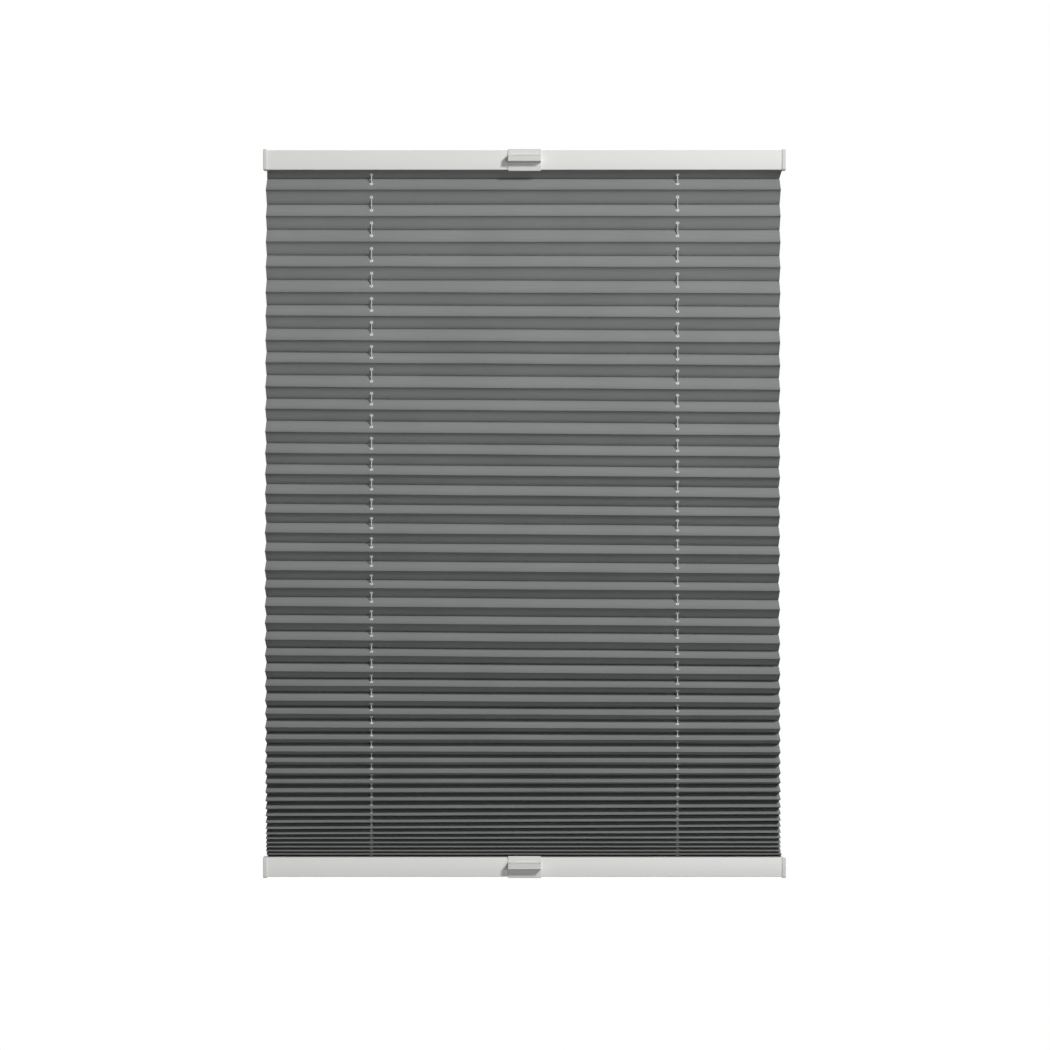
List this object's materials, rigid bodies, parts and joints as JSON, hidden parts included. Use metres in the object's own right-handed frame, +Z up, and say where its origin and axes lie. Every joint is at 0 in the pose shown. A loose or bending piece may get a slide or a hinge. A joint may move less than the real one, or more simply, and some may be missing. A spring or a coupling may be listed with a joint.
{
  "type": "pleated blind",
  "caption": "Pleated cloth blind between two slim white aluminium rails with clip-on finger grips; the lower rail slides up its guide cords and folds the cloth together.",
  "frame": {"origin": "centre of the top rail's flat back face", "axes": "+X along the rails to the right as seen from the room, -Y towards the room, +Z up"},
  "size_m": [0.6, 0.035, 0.8367],
  "materials": {
    "coated_rail": "white satin coating",
    "white_plastic": "fine satin",
    "grey_cloth": "matt woven polyester",
    "eyelet_plastic": "smooth",
    "braided_cord": "fine braid",
    "spring_steel": "bright drawn wire"
  },
  "bodies": {
    "top_rail": {"top_rail": "coated_rail", "top_cloth_strip": "white_plastic", "top_left_end_cap": "white_plastic", "top_right_end_cap": "white_plastic", "pleated_cloth": "grey_cloth", "left_eyelets": "eyelet_plastic", "right_eyelets": "eyelet_plastic", "left_cord": "braided_cord", "right_cord": "braided_cord", "left_cord_guide": "white_plastic", "right_cord_guide": "white_plastic", "left_cord_clamp": "white_plastic", "right_cord_clamp": "white_plastic", "left_tension_spring": "spring_steel", "right_tension_spring": "spring_steel", "spring_anchor": "white_plastic", "left_cord_stop": "white_plastic", "right_cord_stop": "white_plastic"},
    "bottom_rail": {"bottom_rail": "coated_rail", "bottom_cloth_strip": "white_plastic", "bottom_left_end_cap": "white_plastic", "bottom_right_end_cap": "white_plastic", "left_cord_bush": "white_plastic", "right_cord_bush": "white_plastic"},
    "top_grip": {"top_grip": "white_plastic"},
    "bottom_grip": {"bottom_grip": "white_plastic"}
  },
  "joints": [
    {"name": "bottom_rail_slide", "type": "slide", "parent": "top_rail", "child": "bottom_rail", "axis": [0, 0, 1], "range_m": [0, 0.72], "deforming": ["pleated_cloth", "left_eyelets", "right_eyelets"]},
    {"name": "top_grip_slide", "type": "slide", "parent": "top_rail", "child": "top_grip", "axis": [1, 0, 0], "range_m": [-0.276, 0.276]},
    {"name": "bottom_grip_slide", "type": "slide", "parent": "bottom_rail", "child": "bottom_grip", "axis": [1, 0, 0], "range_m": [-0.276, 0.276]}
  ]
}
